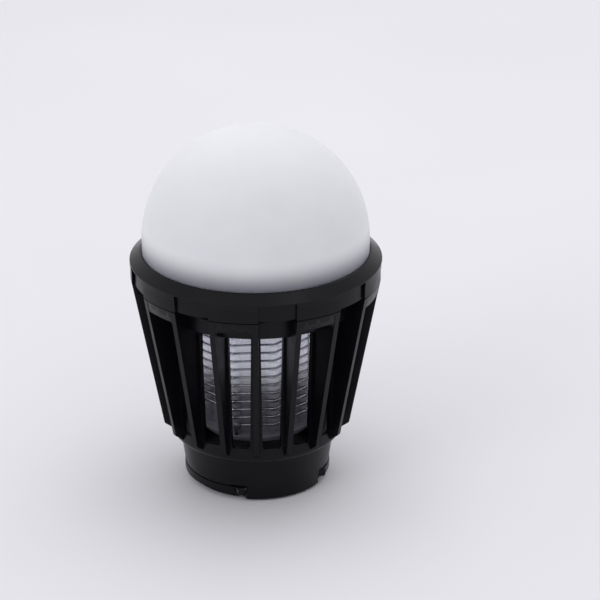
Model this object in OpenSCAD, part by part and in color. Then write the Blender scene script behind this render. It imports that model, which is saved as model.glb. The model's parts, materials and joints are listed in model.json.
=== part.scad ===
// Rechargeable camping bug zapper: a soft dome lamp on a bezelled head, which carries
// a high-voltage wire grid that hangs in a finned cage. The cage stands in a base cup
// with a drop-in insect tray and a fold-down hanging loop.
//
// Frame: origin at the centre of the foot, +Z up, front towards -Y.
// Azimuth is counted from the front (-Y) towards +X. Millimetres and degrees.

/* [Base] */
// Outer radius of the cup at its foot
base_foot_r = 25.8; // [24:0.1:31]
// Outer radius of the cup at its mouth
base_mouth_r = 28; // [27:0.1:28.3]
// Height of the cup
base_h = 16.2; // [14:0.1:19.5]
// Wall of the cup
base_wall = 1.5; // [1.2:0.1:1.8]
// Radius of the rubber foot pad
pad_r = 19.8; // [14:0.1:20.5]
// Thickness of the foot pad
pad_t = 1.3; // [1.1:0.1:1.6]
// How far the foot pad stands out below the cup
pad_proud = 0.8; // [0.5:0.1:1]
// Height of the insect tray's rim
tray_rim_h = 4.4; // [3:0.1:5.2]
// Wall of the insect tray
tray_wall = 1; // [0.8:0.1:1.3]

/* [Hanging loop] */
// Azimuth of the middle of the loop's open side
loop_az = 25; // [0:1:359]
// Half of the angle between the loop's two ends
loop_half_gap = 39; // [36:1:44]
// Radial width of the loop
loop_w = 2.1; // [1.8:0.1:2.4]
// Thickness of the loop
loop_t = 2.7; // [2.2:0.1:3]
// Radius of the eyes at the loop's ends
loop_eye_r = 1.6; // [1.4:0.1:1.8]
// Radius of the loop's pins
loop_pin_r = 0.9; // [0.7:0.05:1]

/* [Cage] */
// Radius over the fins at their foot
cage_foot_r = 34.3; // [32:0.1:40]
// Height of the fins from their foot to the cage's top edge
cage_h = 55.9; // [50:0.1:68]
// Height of the bottom ring that the fins stand on
shoulder_h = 6.3; // [5.2:0.1:7.6]
// Number of fins, two to a block
fin_count = 18; // [14:2:20]
// Azimuth of the first fin
fin_az = -0.5; // [-10:0.5:10]
// Thickness of a fin
fin_t = 2; // [1.6:0.1:2.6]
// Width of a fin's inner flange at its foot
flange_foot_w = 4.5; // [3.5:0.1:5]
// Width of a fin's inner flange at its head
flange_head_w = 3.3; // [2.6:0.1:4.5]
// Thickness of a fin's inner flange
flange_t = 1.5; // [1.2:0.1:1.8]
// Height of the arch that ties two fins into a block
arch_h = 4.1; // [3:0.1:5.5]
// Radius in the corners of the windows under the arches
window_corner_r = 1.8; // [1:0.1:2.5]
// Radius in the lower corners of the slots between the flanges
slot_corner_r = 1.4; // [0.6:0.1:1.8]
// Outer radius of the bottom ring that the fins stand on
shoulder_r = 31.2; // [30.4:0.1:31.4]
// Wall of the rings at the top and bottom of the cage
cage_wall = 1.6; // [1.3:0.1:2]
// Height of the top collar, which the head seats in
collar_h = 9; // [7.8:0.1:10]

/* [Head] */
// Largest radius of the head, over the bezel
head_r = 45.3; // [44:0.1:55]
// Height of the head ring under the bezel
head_ring_h = 6.3; // [5.9:0.1:8]
// Wall of the head ring
head_wall = 1.8; // [1.5:0.1:2.2]
// How far the head's blocks stand out of its ring
block_proud = 1; // [0.8:0.1:1.3]
// Height of the bezel above the head ring
bezel_h = 3.5; // [3.2:0.1:5.2]
// Radial width of the bezel
bezel_w = 4.5; // [3.6:0.1:4.8]
// How far the bezel's tabs reach down over the blocks
tab_h = 1.5; // [1:0.1:2]
// Wall of the soft dome
dome_wall = 2; // [1.4:0.1:3]
// Straight part of the dome's side above the bezel
dome_side_h = 4.5; // [1:0.1:8]
// Depth of the spigot that the head seats in the cage with
spigot_h = 5.6; // [4.6:0.1:6.2]

/* [Grid] */
// Radius at which the former's ribs stand
rib_centre_r = 17.9; // [15:0.1:18.2]
// Radius of a rib between its ridges
rib_r = 1.5; // [1.2:0.1:1.8]
// Diameter of the grid wire
wire_d = 0.8; // [0.6:0.1:1]
// Rise of one wire in a turn; the two wires lie half of this apart
wire_pitch = 6.3; // [5.4:0.1:8]
// Turns of each wire
wire_turns = 6; // [4:1:6]
// Wall of the clear former
former_wall = 1.2; // [1:0.1:2]
// Radius of the grid's end discs
disc_r = 21.2; // [20.6:0.1:22.4]
// Thickness of the grid's end discs
disc_t = 2.4; // [2:0.1:3]

/* [Electronics] */
// Length, width and height of the flat battery
battery_size = [36, 22, 6.6];
// Length, width and height of the transformer
transformer_size = [11, 9, 6.8];
// Length, width and height of the capacitor
capacitor_size = [11, 5.4, 6.6];
// Width, depth and height of the charging socket
socket_size = [7.4, 5.6, 2.6];
// Width, depth and height of the push switch
switch_size = [6, 3.4, 2.6];
// Thickness of the circuit boards
board_t = 1.2; // [0.8:0.1:1.4]
// Number of lamp chips in the outer circle
lamp_chips = 12; // [6:1:24]
// Side of a lamp chip
lamp_chip_w = 2.8; // [2:0.1:3.5]
// Side of an ultraviolet chip
uv_chip_w = 3.5; // [2.8:0.1:3.5]
// Number of ultraviolet chips on each face of their board
uv_count = 5; // [3:1:6]
// Travel of the power button
button_travel = 0.6; // [0.4:0.1:0.8]

/* [Clearances] */
// Gap between pieces that are lifted apart
lift_gap = 0.15; // [0.1:0.05:0.25]
// Seam between the cage and the head
seam = 0.4; // [0.2:0.1:0.6]
// Radial gap around a pin that something turns on
pin_gap = 0.05; // [0.03:0.01:0.1]
// Gap around the loop in its rebate
loop_gap = 0.25; // [0.2:0.05:0.4]

/* [Hidden] */
$fn = 96;

eps = 0.01;                      // reach of a cut past a face that it leaves open
abs_black = "#1d1c22";
silicone_white = "#e3e5e9";
steel = "#b9bcc2";
board_green = "#1f5a3c";

// Heights of the stack, from the foot up
cup_z0 = pad_proud;
cup_z1 = cup_z0 + base_h;
lip_z = cup_z1 + 0.4;                             // underside of the cage's shoulder
shoulder_round = 2.8;                             // round under the shoulder
shoulder_z1 = lip_z + shoulder_h;
fin_z0 = shoulder_z1 - 1.2;                       // where the fins' outer edge starts
cage_z1 = fin_z0 + cage_h;
collar_z0 = cage_z1 - collar_h;
arch_z0 = cage_z1 - arch_h;
ring_z0 = cage_z1 + seam;
ring_z1 = ring_z0 + head_ring_h;
bezel_z1 = ring_z1 + bezel_h;

// Radii that follow from what seats on what
ring_r = head_r - block_proud - 0.2;              // head ring between its blocks
block_r = head_r - 0.2;
cage_top_r = block_r - 0.1;
ring_in_r = ring_r - head_wall;
dome_r = head_r - bezel_w;
dome_centre_z = bezel_z1 + dome_side_h;
collar_r = ring_r - 6.9;
collar_in_r = collar_r - cage_wall;
spigot_r = collar_in_r - lift_gap;
spigot_in_r = spigot_r - cage_wall;
block_pitch = 720 / fin_count;
fin_pitch = 360 / fin_count;
block_half = fin_pitch / 2 + asin(fin_t / 2 / ring_r);
socket_az = fin_az - fin_pitch / 2 + 5 * block_pitch;
button_az = socket_az - block_pitch;

// Base cup and loop rebate
rebate_r = base_foot_r - loop_w + 0.6;            // the loop stands a little proud
rebate_z1 = cup_z0 + 1.8 + loop_t + 2 * loop_gap;
loop_z0 = rebate_z1 - loop_gap - loop_t;
loop_in_r = rebate_r + loop_gap;
loop_out_r = loop_in_r + loop_w;
loop_mid_r = (loop_in_r + loop_out_r) / 2;
loop_z = loop_z0 + loop_t / 2;
pivot_d = loop_mid_r * cos(loop_half_gap);        // from the axis to the pins' line
pivot_u = loop_mid_r * sin(loop_half_gap);        // from the middle to each eye
eye_len = 2.6;
pocket_gap = 0.45;
pocket_u = pivot_u - eye_len / 2 - pocket_gap;    // inner wall of each eye's pocket
pin_seat = 3;                                     // length of a pin inside the cup's wall
cup_floor_z = cup_z0 + pad_t - pad_proud + 1.1;
cup_in_r = base_mouth_r - base_wall;
cup_in_step_r = cup_in_r - 0.6;
step_z = rebate_z1 + 1.4;                         // ledge that the tray rests on
cup_low_r = min(rebate_r - 2.4, cup_in_step_r - 1.5); // inside of the cup under that ledge
tray_r = cup_in_step_r - 2 * lift_gap;

// Shoulder's spigot in the cup, with its seal
socket_r = cup_in_r - 0.35;
seal_r = 0.5;
seal_ring_r = socket_r - 0.35;
socket_z0 = lip_z - 3.1;
seal_z = (lip_z + socket_z0) / 2;
shoulder_in_r = socket_r - cage_wall;

// Flange faces, measured at the fins' foot and head
flange_foot_r = shoulder_r - 0.8;
flange_head_r = flange_foot_r + 1.3;

// Head's inside
floor_t = 1.6;
floor_z0 = ring_z0 - spigot_h;
floor_z1 = floor_z0 + floor_t;
deck_t = 1.2;
deck_z1 = ring_z0 + deck_t;
lug_r = spigot_in_r - 3.4;
lug_az = [90, 180, 270];
post_az = [60, 180, 300];
post_r = dome_r - 4.6;
lamp_z0 = ring_z1 + 0.8;
flange_dome_t = 1.5;
control_z0 = deck_z1 + 3.0;
control_r = ring_in_r - 1.2 - button_travel;
port_z = control_z0 - socket_size[2] / 2;
cover_w = 11;
cover_t = 0.7;
cover_hinge_r = ring_r + 0.12 + cover_t / 2;
cover_hinge_z = ring_z0 + cover_t / 2 + 0.05;
cover_z1 = ring_z0 + head_ring_h - tab_h - 0.25;
button_w = 7;
button_h = 2.6;
screw_r = 1.1;
battery_y0 = -3.2;                                // back face of the battery
battery_z0 = floor_z1 + 0.8;
lead_hole_y = 8;                                  // way through for the grid's leads
lead_hole_r = 2.5;
transformer_at = [10, 12];
capacitor_at = [-13, 13];
chip_circle_r = [25, 13];                         // circles that the lamp chips stand on
chip_t = 0.8;

// Grid, hung from the head's floor
grid_z1 = floor_z0 - 1.6;                         // top face of the upper disc
grid_top_z = grid_z1 - disc_t;
former_h = wire_pitch * (wire_turns + 0.5) + 4.7;
grid_foot_z = grid_top_z - former_h;              // top face of the lower disc
wire_r = wire_d / 2;
rib_count = 8;
rib_az = 18.5;
bends = 3;                                        // points of a wire on each rib
former_r = rib_centre_r + 0.4;                    // across the former's corners
ridge_out = 0.9;
ridge_h = wire_pitch / 2 - wire_d - 0.8;
wire_z_gap = (wire_pitch / 2 - ridge_h) / 2;      // from a ridge to the middle of the wire
ridge_z0 = 1;
neck_r = former_r - 4;
web_t = 2;                                        // closed end of the former, at its foot
uv_z0 = grid_foot_z + web_t + 0.4;
lug_plate_r = rib_centre_r + 2.4;                 // the solder lug stands just outside the ridges
lug_plate_az = -21;
lug_plate_t = 0.6;
lug_eye_z = grid_foot_z + 3.45;

// --- placing and sweeping helpers ---

// Turns what is built at the front round to an azimuth
module at_az(a) {
    rotate([0, 0, a]) children();
}

// Revolves an outline of radius and height between two azimuths
module sector(a0, a1) {
    rotate([0, 0, a0 - 90]) rotate_extrude(angle = a1 - a0) children();
}

// A flat plate that stands along the radius at the front; its outline is radius and height
module radial_plate(t) {
    rotate([0, 0, -90]) rotate([90, 0, 0])
        translate([0, 0, -t / 2]) linear_extrude(t) children();
}

// Extrudes an outline of width and height outwards from a radius at the front
module outward(r0, depth) {
    translate([0, -r0, 0]) rotate([90, 0, 0]) linear_extrude(depth) children();
}

// An upright ring
module ring(r_out, r_in, h) {
    difference() {
        cylinder(r = r_out, h = h);
        translate([0, 0, -eps]) cylinder(r = r_in, h = h + 2 * eps);
    }
}

// A screw with a pan head, whose shank points up from the origin
module screw_up(len, r = screw_r) {
    cylinder(r = r, h = len, $fn = 32);
    difference() {
        translate([0, 0, -1.1]) cylinder(r = 1.9 * r, h = 1.1, $fn = 32);
        translate([0, 0, -1.2]) cube([2.2 * r, 0.45, 0.9], center = true);
        translate([0, 0, -1.2]) cube([0.45, 2.2 * r, 0.9], center = true);
    }
}

// A pill-shaped outline
module pill(w, h) {
    square([w - h, h], center = true);
    for (s = [-1, 1]) translate([s * (w - h) / 2, 0]) circle(r = h / 2, $fn = 40);
}

// Radius of the cage's outside at a height
function cage_r(z) = cage_foot_r + (cage_top_r - cage_foot_r) * (z - fin_z0) / cage_h;

// --- base ---

module foot_pad() {
    color("#26262a") difference() {
        cylinder(r = pad_r, h = pad_t);
        // one shallow groove, which grips a smooth surface
        translate([0, 0, -eps]) ring(pad_r - 2.5, pad_r - 3.5, 0.4);
    }
}

// Places what is built along the pins' line: x along it, y away from the axis
module loop_frame() {
    at_az(loop_az) mirror([0, 1, 0]) children();
}

module base_cup() {
    rebate_start = loop_half_gap - 2;
    color(abs_black) difference() {
        rotate_extrude() polygon([
            [0, cup_z0 + pad_t - pad_proud], [pad_r + 0.1, cup_z0 + pad_t - pad_proud],
            [pad_r + 0.1, cup_z0], [base_foot_r, cup_z0], [base_mouth_r, cup_z1],
            [cup_in_r, cup_z1], [cup_in_step_r, step_z], [cup_low_r, step_z],
            [cup_low_r, cup_floor_z], [0, cup_floor_z]
        ]);
        // rebate that the folded loop lies in, open downwards
        sector(loop_az + rebate_start, loop_az + 360 - rebate_start)
            translate([rebate_r, cup_z0 - 1])
                square([10, rebate_z1 - cup_z0 + 1]);
        loop_frame() for (s = [0, 1]) mirror([s, 0, 0]) {
            // pocket around each eye, open downwards
            translate([pocket_u, pivot_d - loop_eye_r - pocket_gap, cup_z0 - 1])
                cube([9, 9, loop_z + loop_eye_r + pocket_gap - cup_z0 + 1]);
            // hole that holds the pin
            translate([pocket_u - pin_seat, pivot_d, loop_z])
                rotate([0, 90, 0]) cylinder(r = loop_pin_r, h = pin_seat + eps, $fn = 32);
        }
    }
}

module insect_tray() {
    color("#2a2a31") rotate_extrude() polygon([
        [0, step_z], [tray_r, step_z], [tray_r, step_z + tray_rim_h],
        [tray_r - tray_wall, step_z + tray_rim_h], [tray_r - tray_wall - 0.6, step_z + tray_wall],
        [0, step_z + tray_wall]
    ]);
}

module hanging_loop() {
    color(abs_black) difference() {
        union() {
            sector(loop_az + loop_half_gap, loop_az + 360 - loop_half_gap)
                translate([loop_in_r, loop_z0]) square([loop_w, loop_t]);
            loop_frame() for (s = [-1, 1])
                translate([s * pivot_u - eye_len / 2, pivot_d, loop_z])
                    rotate([0, 90, 0]) cylinder(r = loop_eye_r, h = eye_len, $fn = 40);
        }
        loop_frame() for (s = [-1, 1])
            translate([s * pivot_u - 4, pivot_d, loop_z])
                rotate([0, 90, 0]) cylinder(r = loop_pin_r + pin_gap, h = 8, $fn = 40);
    }
}

module loop_pins() {
    color(steel) loop_frame() for (s = [0, 1]) mirror([s, 0, 0])
        translate([pocket_u - pin_seat, pivot_d, loop_z]) rotate([0, 90, 0])
            cylinder(r = loop_pin_r, h = pin_seat + pocket_gap + eye_len, $fn = 32);
}

module spigot_seal() {
    color("#3b3b40") translate([0, 0, seal_z])
        rotate_extrude() translate([seal_ring_r, 0]) circle(r = seal_r, $fn = 24);
}

// --- cage ---

// Ring under the shoulder that plugs into the cup, with the seal's groove
module cage_spigot() {
    groove = seal_r + lift_gap;
    color(abs_black) rotate_extrude() difference() {
        translate([shoulder_in_r, socket_z0]) square([socket_r - shoulder_in_r, lip_z - socket_z0]);
        translate([seal_ring_r - groove, seal_z - groove]) square([2 * groove + 1, 2 * groove]);
    }
}

module cage_shoulder() {
    color(abs_black) rotate_extrude() {
        polygon([
            [shoulder_in_r, lip_z], [shoulder_r - shoulder_round, lip_z],
            [shoulder_r - shoulder_round, lip_z + shoulder_round],
            [shoulder_r, lip_z + shoulder_round], [shoulder_r, shoulder_z1],
            [shoulder_r - cage_wall, shoulder_z1],
            [shoulder_r - cage_wall - 0.3, lip_z + shoulder_round + 0.6],
            [shoulder_in_r, lip_z + 1.5]
        ]);
        intersection() {
            translate([shoulder_r - shoulder_round, lip_z + shoulder_round])
                circle(r = shoulder_round);
            translate([shoulder_r - shoulder_round, lip_z])
                square([shoulder_round, shoulder_round]);
        }
    }
}

// A fin's inner flange, with rounds where it meets the ring under it
module flange_outline(run) {
    polygon([
        [-flange_foot_w / 2, -1], [flange_foot_w / 2, -1],
        [flange_head_w / 2, run + 1], [-flange_head_w / 2, run + 1]
    ]);
    difference() {
        square([flange_foot_w + 2 * slot_corner_r - 0.1, 2 * slot_corner_r], center = true);
        for (s = [-1, 1]) translate([s * (flange_foot_w / 2 + slot_corner_r - 0.05), slot_corner_r])
            circle(r = slot_corner_r, $fn = 40);
    }
}

// One fin: a tapering plate with a flange along its inner edge
module fin() {
    toe_z = fin_z0 - 2.2;
    lean = atan((flange_head_r - flange_foot_r) / (collar_z0 - shoulder_z1));
    run = collar_z0 - shoulder_z1;
    difference() {
        union() {
            radial_plate(fin_t) polygon([
                [shoulder_r - 1, toe_z], [shoulder_r, toe_z], [cage_foot_r, fin_z0],
                [cage_r(arch_z0), arch_z0], [collar_r - 1, arch_z0], [collar_r - 1, collar_z0],
                [flange_head_r + flange_t / 2, collar_z0], [flange_foot_r + flange_t / 2, shoulder_z1]
            ]);
            intersection() {
                translate([0, -flange_foot_r, shoulder_z1]) rotate([lean, 0, 0])
                    rotate([90, 0, 0]) linear_extrude(flange_t) flange_outline(run);
                translate([-5, -cage_top_r, shoulder_z1]) cube([10, cage_top_r, run]);
            }
        }
        cylinder(r = shoulder_r, h = shoulder_z1);
        translate([0, 0, collar_z0]) cylinder(r = collar_r, h = collar_h);
    }
}

module cage_fins() {
    color(abs_black) for (i = [0 : fin_count - 1]) at_az(fin_az + i * fin_pitch) fin();
}

// Arch over two fins, with rounds in the upper corners of its window
module arch() {
    fillet = window_corner_r;
    inset = 0.08;                // the band lies a hair below the fins' outer edges
    difference() {
        union() {
            sector(-fin_pitch / 2, fin_pitch / 2) polygon([
                [collar_r - 1, arch_z0], [cage_r(arch_z0) - inset, arch_z0],
                [cage_r(cage_z1) - inset, cage_z1], [collar_r - 1, cage_z1]
            ]);
            for (s = [-1, 1]) at_az(s * fin_pitch / 2) {
                radial_plate(fin_t) polygon([
                    [collar_r - 1, arch_z0], [cage_r(arch_z0), arch_z0],
                    [cage_r(cage_z1), cage_z1], [collar_r - 1, cage_z1]
                ]);
                mirror([s > 0 ? 1 : 0, 0, 0])
                    outward(collar_r - 1, cage_r(arch_z0 - fillet) - inset - collar_r + 1)
                        translate([fin_t / 2 - 0.3, arch_z0 - fillet]) difference() {
                            square([fillet + 0.3, fillet + 0.3]);
                            translate([fillet + 0.3, 0]) circle(r = fillet, $fn = 40);
                        }
            }
        }
        translate([0, 0, collar_z0]) cylinder(r = collar_r, h = collar_h + 1);
        // room for the fins that carry the arch
        for (s = [-1, 1]) at_az(s * fin_pitch / 2) radial_plate(fin_t)
            translate([0, collar_z0]) square([cage_top_r + 2, collar_h - arch_h]);
    }
}

module cage_arches() {
    color(abs_black) for (i = [0 : fin_count / 2 - 1])
        at_az(fin_az - fin_pitch / 2 + i * block_pitch) arch();
}

module cage_collar() {
    shelf_r = flange_head_r - 0.3;
    color(abs_black) rotate_extrude() polygon([
        [shelf_r, collar_z0], [collar_r, collar_z0], [collar_r, cage_z1], [collar_in_r, cage_z1],
        [collar_in_r, collar_z0 + 1.4], [shelf_r, collar_z0 + 1.4]
    ]);
}

// --- head ---

// Opening and recess for the charging port, at the front
module port_cut() {
    outward(ring_in_r - 1, head_wall + 3)
        translate([0, port_z]) square([socket_size[0] + 0.6, socket_size[2] + 0.4], center = true);
    outward(ring_r + 0.02, 3)
        translate([-cover_w / 2 - 0.3, ring_z0 - 1]) square([cover_w + 0.6, head_ring_h]);
}

module head_housing() {
    color(abs_black) difference() {
        union() {
            rotate_extrude() polygon([
                [spigot_in_r, floor_z0], [spigot_r, floor_z0], [spigot_r, ring_z0],
                [ring_r, ring_z0], [ring_r, ring_z1], [ring_in_r, ring_z1],
                [ring_in_r, deck_z1], [spigot_in_r, deck_z1]
            ]);
            for (i = [0 : fin_count / 2 - 1]) {
                a = fin_az - fin_pitch / 2 + i * block_pitch;
                sector(a - block_half, a + block_half)
                    translate([ring_r - 0.5, ring_z0])
                        square([block_r - ring_r + 0.5, head_ring_h - tab_h]);
            }
            // lugs that take the floor's screws
            for (a = lug_az) at_az(a) intersection() {
                translate([-3.2, -spigot_r + 0.4, floor_z1]) cube([6.4, 6.2, 4]);
                cylinder(r = spigot_r - 0.4, h = cage_z1 + 50);
            }
            // posts that take the lamp board's screws
            for (a = post_az) at_az(a) translate([0, -post_r, ring_z0 + 0.2])
                cylinder(r = 2, h = lamp_z0 - ring_z0 - 0.2, $fn = 32);
        }
        for (a = lug_az) at_az(a) translate([0, -lug_r, floor_z1 - eps])
            cylinder(r = screw_r, h = 4.4, $fn = 32);
        for (a = post_az) at_az(a) translate([0, -post_r, lamp_z0 - 4])
            cylinder(r = screw_r, h = 4.4, $fn = 32);
        at_az(socket_az) port_cut();
        at_az(button_az) outward(ring_in_r - 1, head_wall + 3)
            translate([0, port_z]) pill(button_w + 0.3, button_h + 0.3);
    }
}

module head_floor() {
    color("#24242a") difference() {
        translate([0, 0, floor_z0]) cylinder(r = spigot_in_r - 0.05, h = floor_t);
        for (a = lug_az) at_az(a) translate([0, -lug_r, floor_z0 - eps])
            cylinder(r = screw_r, h = floor_t + 1, $fn = 32);
        // way through for the leads of the grid and the column
        translate([0, lead_hole_y, floor_z0 - eps])
            cylinder(r = lead_hole_r, h = floor_t + 1, $fn = 40);
    }
}

module floor_screws() {
    color(steel) for (a = lug_az) at_az(a) translate([0, -lug_r, floor_z0])
        screw_up(floor_t + 3.6);
}

module bezel_ring() {
    inner_r = dome_r + 0.15;
    tab_in_r = ring_r + 0.03;
    parting = 0.08;              // open line between the bezel and the head ring
    color(abs_black) difference() {
        rotate_extrude() polygon([
            [ring_r - 0.6, ring_z1], [tab_in_r, ring_z1], [tab_in_r, ring_z1 - tab_h],
            [head_r, ring_z1 - tab_h], [head_r, ring_z1 + 0.4],
            [inner_r + 0.7, bezel_z1 - 0.15], [inner_r + 0.4, bezel_z1], [inner_r, bezel_z1],
            [inner_r, ring_z1 + flange_dome_t + 0.1], [ring_r - 0.6, ring_z1 + flange_dome_t + 0.1]
        ]);
        // tabs stay only over the blocks
        for (i = [0 : fin_count / 2 - 1]) {
            a = fin_az - fin_pitch / 2 + i * block_pitch;
            sector(a + block_half, a + block_pitch - block_half)
                translate([ring_r - 0.2, ring_z1 - tab_h - 1]) square([5, tab_h + 1 + parting]);
        }
    }
}

module shade_dome() {
    color(silicone_white) rotate_extrude() {
        difference() {
            union() {
                translate([0, dome_centre_z]) circle(r = dome_r, $fn = 160);
                translate([0, ring_z1]) square([dome_r, dome_centre_z - ring_z1]);
                translate([0, ring_z1]) square([ring_r - 0.7, flange_dome_t]);
            }
            translate([0, dome_centre_z]) circle(r = dome_r - dome_wall, $fn = 160);
            translate([-1, ring_z1 - 1]) square([dome_r - dome_wall + 1, dome_centre_z - ring_z1 + 1]);
            translate([-200, -200]) square([200, 600]);
            translate([0, -200]) square([200, ring_z1 + 200]);
        }
    }
}

module lamp_board() {
    color("#e9e9e4") difference() {
        translate([0, 0, lamp_z0]) cylinder(r = dome_r - dome_wall - 0.4, h = board_t);
        for (a = post_az) at_az(a) translate([0, -post_r, lamp_z0 - eps])
            cylinder(r = screw_r, h = board_t + 1, $fn = 32);
    }
}

module lamp_chips() {
    count = [lamp_chips, floor(lamp_chips / 2)];
    w = lamp_chip_w;
    color("#f2df9a") for (c = [0, 1]) for (i = [0 : count[c] - 1])
        at_az(i * 360 / count[c] + c * 15)
            translate([-w / 2, -chip_circle_r[c] - w / 2, lamp_z0 + board_t]) cube([w, w, chip_t]);
}

module lamp_board_screws() {
    color(steel) for (a = post_az) at_az(a) translate([0, -post_r, lamp_z0 + board_t])
        rotate([180, 0, 0]) screw_up(board_t + 3.6);
}

module lamp_reflector() {
    out_r = post_r - 2.4;
    color("#f4f4f2") translate([0, 0, lamp_z0 + board_t]) rotate_extrude() polygon([
        [out_r - 4, 0], [out_r, 0], [out_r, 2.6], [out_r - 1, 2.6], [out_r - 4, 0.8]
    ]);
}

module battery_pack() {
    color("#4b6aa5") translate([-battery_size[0] / 2, battery_y0 - battery_size[1], battery_z0])
        cube(battery_size);
}

module battery_cradle() {
    wall = 1.2;
    color("#2f2f36") difference() {
        translate([-battery_size[0] / 2 - wall, battery_y0 - battery_size[1] - wall, floor_z1])
            cube([battery_size[0] + 2 * wall, battery_size[1] + 2 * wall, 4.2]);
        translate([-battery_size[0] / 2, battery_y0 - battery_size[1], battery_z0])
            cube(battery_size);
    }
}

// Two leads that run level from the battery and turn up into the control board
module battery_leads() {
    lead_r = 0.6;
    bend = 2;
    z = control_z0 - bend;
    y1 = 9;
    color("#a03030") for (x = [-3, 3]) translate([x, 0, 0]) {
        translate([0, battery_y0, z]) rotate([-90, 0, 0])
            cylinder(r = lead_r, h = y1 - battery_y0, $fn = 24);
        translate([0, y1, control_z0]) rotate([0, 90, 0])
            rotate_extrude(angle = 90) translate([bend, 0]) circle(r = lead_r, $fn = 24);
    }
}

module control_board() {
    color(board_green) difference() {
        intersection() {
            translate([0, 0, control_z0]) cylinder(r = control_r, h = board_t);
            translate([-16, 7, control_z0]) cube([46, control_r, board_t]);
        }
        at_az(180) translate([0, -post_r, control_z0 - eps]) {
            cylinder(r = 2.6, h = board_t + 1, $fn = 40);
            translate([-2.6, -10, 0]) cube([5.2, 10, board_t + 1]);
        }
    }
}

module step_up_transformer() {
    s = transformer_size;
    color("#6b4d2a") translate([transformer_at[0], transformer_at[1], control_z0 - s[2]]) {
        cube([s[0], s[1], 1.6]);
        translate([0, 0, s[2] - 1.6]) cube([s[0], s[1], 1.6]);
        translate([s[0] / 2, s[1] / 2, 0]) cylinder(r = s[1] / 2 - 0.6, h = s[2], $fn = 40);
    }
}

module storage_capacitor() {
    s = capacitor_size;
    color("#a5452c") translate([capacitor_at[0], capacitor_at[1], control_z0 - s[2]]) cube(s);
}

module push_switch() {
    s = switch_size;
    face_r = ring_in_r - 1.3 - button_travel - 0.2;
    color("#8f9095") at_az(button_az)
        translate([-s[0] / 2, -face_r, control_z0 - s[2]]) cube([s[0], s[1], s[2]]);
}

module charging_socket() {
    s = socket_size;
    wall = 0.5;
    color(steel) at_az(socket_az)
        outward(ring_in_r - 0.4 - s[1], s[1]) translate([0, port_z]) difference() {
            square([s[0], s[2]], center = true);
            square([s[0] - 2 * wall, s[2] - 2 * wall], center = true);
        }
    color("#202020") at_az(socket_az)
        outward(ring_in_r - 0.4 - s[1], s[1] - 1.2) translate([0, port_z])
            square([s[0] - 2 * wall, 0.7], center = true);
}

module power_button() {
    color("#34343c") at_az(button_az) {
        outward(ring_in_r - 1, block_r - ring_in_r + 0.9) translate([0, port_z])
            pill(button_w, button_h);
        // collar that keeps the button in the wall, and the stem on the switch
        outward(ring_in_r - 1, 0.6) translate([0, port_z - 0.1]) pill(button_w + 1.2, button_h + 0.4);
        outward(ring_in_r - 1.3, 0.4) translate([0, port_z]) circle(r = 0.8, $fn = 32);
    }
}

module charging_port_cover() {
    color("#2c2c33") at_az(socket_az) {
        outward(cover_hinge_r - cover_t / 2, cover_t)
            translate([-cover_w / 2, cover_hinge_z]) square([cover_w, cover_z1 - cover_hinge_z]);
        translate([-cover_w / 2, -cover_hinge_r, cover_hinge_z]) rotate([0, 90, 0])
            cylinder(r = cover_t / 2, h = cover_w, $fn = 40);
        outward(cover_hinge_r - cover_t / 2 - 0.8, 1)
            translate([0, port_z]) square([socket_size[0] - 1, socket_size[2] - 0.8], center = true);
    }
}

// --- grid ---

module grid_top_disc() {
    color("#202026") difference() {
        union() {
            translate([0, 0, grid_top_z]) cylinder(r = disc_r, h = disc_t);
            translate([0, 0, grid_z1 - eps]) cylinder(r = neck_r, h = floor_z0 - grid_z1 + eps);
        }
        translate([0, lead_hole_y, grid_top_z - eps])
            cylinder(r = lead_hole_r, h = floor_z0 - grid_top_z + 1, $fn = 40);
    }
}

module uv_board() {
    w = 8;
    color(board_green) translate([-w / 2, -board_t / 2, uv_z0]) cube([w, board_t, grid_top_z - uv_z0]);
}

module uv_chips() {
    w = uv_chip_w;
    gap = (grid_top_z - uv_z0) / uv_count;
    color("#d9cdf2") for (i = [0 : uv_count - 1]) for (s = [0, 1]) rotate([0, 0, 180 * s])
        translate([-w / 2, board_t / 2, uv_z0 + (i + 0.5) * gap - w / 2]) cube([w, chip_t, w]);
}

// Clear former: an eight-sided tube with a ridged rib at each corner
module grid_former() {
    h = grid_top_z - grid_foot_z;
    step = wire_pitch / 2;
    ridges = 2 * wire_turns + 1;
    color([0.8, 0.85, 0.95, 0.5]) translate([0, 0, grid_foot_z]) difference() {
        union() {
            at_az(rib_az) cylinder(r = former_r, h = h, $fn = rib_count);
            for (i = [0 : rib_count - 1]) at_az(rib_az + i * 360 / rib_count)
                translate([0, -rib_centre_r, 0]) {
                    cylinder(r = rib_r, h = h, $fn = 32);
                    // ridges that part the wires; they follow the windings' rise
                    rise = (i + 1) % rib_count * wire_pitch / rib_count % step;
                    for (k = [0 : ridges - 1])
                        translate([0, 0, ridge_z0 + rise + k * step])
                            cylinder(r = rib_r + ridge_out, h = ridge_h, $fn = 32);
                }
        }
        at_az(rib_az) translate([0, 0, web_t])
            cylinder(r = former_r - former_wall / cos(180 / rib_count), h = h, $fn = rib_count);
        translate([0, 0, -eps]) cylinder(r = 1.5, h = web_t + 1, $fn = 32);
    }
}

// Middle of a wound wire after k bends: three bends wrap each rib, from the rib before
// the first one on
function wire_point(k, offset) =
    let (
        rib = floor(k / bends),
        a = rib_az + (rib - 1) * 360 / rib_count,
        turn = a + (k % bends / (bends - 1) - 0.5) * 360 / rib_count,
        nose = rib_r + wire_r + 0.04,
        z0 = grid_foot_z + ridge_z0 + ridge_h + wire_z_gap,
        rise = wire_pitch * (k - (bends - 1) / 2) / bends / rib_count
    ) [rib_centre_r * sin(a) + nose * sin(turn), -rib_centre_r * cos(a) - nose * cos(turn),
       z0 + offset + rise];

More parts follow.
